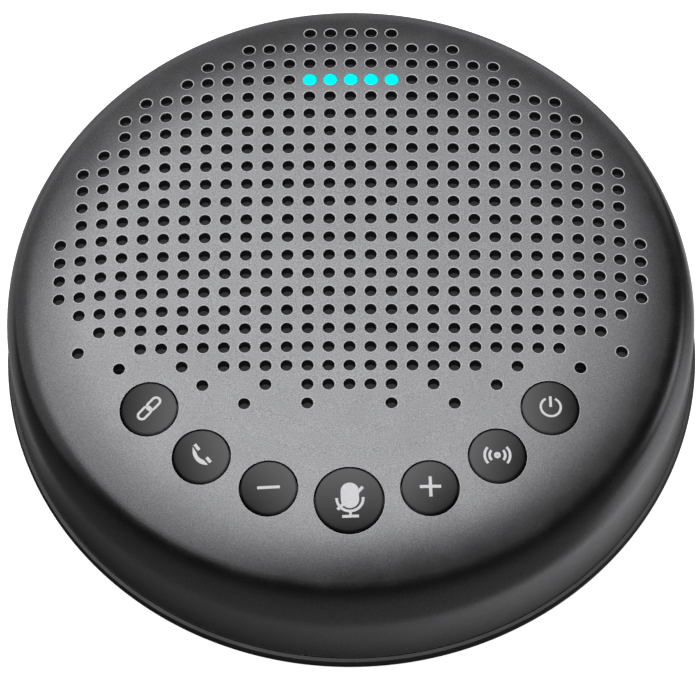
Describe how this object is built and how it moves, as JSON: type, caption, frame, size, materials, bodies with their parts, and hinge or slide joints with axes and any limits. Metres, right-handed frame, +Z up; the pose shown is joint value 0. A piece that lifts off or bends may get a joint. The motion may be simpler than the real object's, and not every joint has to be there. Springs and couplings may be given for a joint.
{
  "type": "conference speakerphone",
  "caption": "Round desk speakerphone with a perforated domed grey shell, an arc of sprung keys, cyan status lamps, rear ports and a stowed radio dongle.",
  "frame": {"origin": "centre of the foot's underside, on the surface the speakerphone stands on", "axes": "+Z up, +Y to the rear where the sockets are, -Y to the user and the keys, +X to the user's right"},
  "size_m": [0.123, 0.123, 0.033],
  "materials": {
    "painted_shell": "satin metallic grey paint on moulded plastic",
    "base_plastic": "fine satin moulded plastic",
    "foot_rubber": "matt rubber",
    "key_plastic": "satin moulded plastic",
    "inner_plastic": "plain moulded plastic",
    "circuit_board": "solder mask",
    "switch_body": "pressed cover",
    "screw_steel": "blackened steel",
    "plated_steel": "nickel plated",
    "soft_rubber": "soft matt rubber",
    "lamp_lens": "clear epoxy",
    "lamp_guide": "lit clear plastic",
    "speaker_steel": "plated pressed steel",
    "magnet": "nickel plated magnet",
    "coil_copper": "enamelled wire",
    "spider_cloth": "corrugated cloth",
    "cone_paper": "pressed paper",
    "gasket_foam": "closed-cell foam",
    "mesh_cloth": "fine woven cloth",
    "contact_brass": "gold plated",
    "chip_black": "moulded package",
    "capacitor_can": "plain can",
    "socket_plastic": "moulded plastic",
    "ribbon_film": "polyimide film",
    "wire_sleeve": "wire sleeve",
    "cell_wrap": "laminated pouch",
    "dongle_plastic": "glossy moulded plastic",
    "plug_steel": "plated steel",
    "tongue_plastic": "white moulded plastic"
  },
  "bodies": {
    "housing": {"top_shell": "painted_shell", "base_shell": "base_plastic", "rubber_foot": "foot_rubber", "case_screws": "screw_steel", "key_guide": "inner_plastic", "key_board": "circuit_board", "key_switches": "switch_body", "key_board_screws": "screw_steel", "microphones": "plated_steel", "microphone_gaskets": "soft_rubber", "lamp_board": "circuit_board", "lamps": "lamp_lens", "lamp_light_guide": "lamp_guide", "lamp_board_screws": "screw_steel", "speaker_basket": "speaker_steel", "speaker_top_plate": "speaker_steel", "speaker_yoke": "speaker_steel", "speaker_magnet": "magnet", "voice_coil": "coil_copper", "spider": "spider_cloth", "speaker_cone": "cone_paper", "dust_cap": "cone_paper", "speaker_surround": "soft_rubber", "speaker_gasket": "gasket_foam", "speaker_terminals": "contact_brass", "speaker_frame": "inner_plastic", "speaker_frame_screws": "screw_steel", "acoustic_mesh": "mesh_cloth", "main_board": "circuit_board", "main_board_screws": "screw_steel", "radio_shield": "plated_steel", "radio_chip": "chip_black", "audio_chips": "chip_black", "power_inductors": "chip_black", "capacitors": "capacitor_can", "board_sockets": "socket_plastic", "key_ribbon": "ribbon_film", "lamp_ribbon": "ribbon_film", "speaker_wires": "wire_sleeve", "cell_pad": "gasket_foam", "battery_cell": "cell_wrap", "battery_terminals": "contact_brass", "usb_c_socket": "plated_steel", "usb_c_tongue": "chip_black", "audio_jack": "socket_plastic", "dongle_bay": "inner_plastic"},
    "link_key": {"link_key": "key_plastic"},
    "call_key": {"call_key": "key_plastic"},
    "volume_down_key": {"volume_down_key": "key_plastic"},
    "mute_key": {"mute_key": "key_plastic"},
    "volume_up_key": {"volume_up_key": "key_plastic"},
    "wireless_key": {"wireless_key": "key_plastic"},
    "power_key": {"power_key": "key_plastic"},
    "dongle": {"dongle_cap": "dongle_plastic", "dongle_plug": "plug_steel", "dongle_tongue": "tongue_plastic", "dongle_contacts": "contact_brass", "dongle_board": "circuit_board"}
  },
  "joints": [
    {"name": "link_key_press", "type": "slide", "parent": "housing", "child": "link_key", "axis": [0, 0, -1], "range_m": [0, 0.0005], "stiffness_N_per_m": 1500},
    {"name": "call_key_press", "type": "slide", "parent": "housing", "child": "call_key", "axis": [0, 0, -1], "range_m": [0, 0.0005], "stiffness_N_per_m": 1500},
    {"name": "volume_down_key_press", "type": "slide", "parent": "housing", "child": "volume_down_key", "axis": [0, 0, -1], "range_m": [0, 0.0005], "stiffness_N_per_m": 1500},
    {"name": "mute_key_press", "type": "slide", "parent": "housing", "child": "mute_key", "axis": [0, 0, -1], "range_m": [0, 0.0005], "stiffness_N_per_m": 1500},
    {"name": "volume_up_key_press", "type": "slide", "parent": "housing", "child": "volume_up_key", "axis": [0, 0, -1], "range_m": [0, 0.0005], "stiffness_N_per_m": 1500},
    {"name": "wireless_key_press", "type": "slide", "parent": "housing", "child": "wireless_key", "axis": [0, 0, -1], "range_m": [0, 0.0005], "stiffness_N_per_m": 1500},
    {"name": "power_key_press", "type": "slide", "parent": "housing", "child": "power_key", "axis": [0, 0, -1], "range_m": [0, 0.0005], "stiffness_N_per_m": 1500},
    {"name": "dongle_slide", "type": "slide", "parent": "housing", "child": "dongle", "axis": [0.766, 0.6428, 0], "range_m": [0, 0.034]}
  ]
}
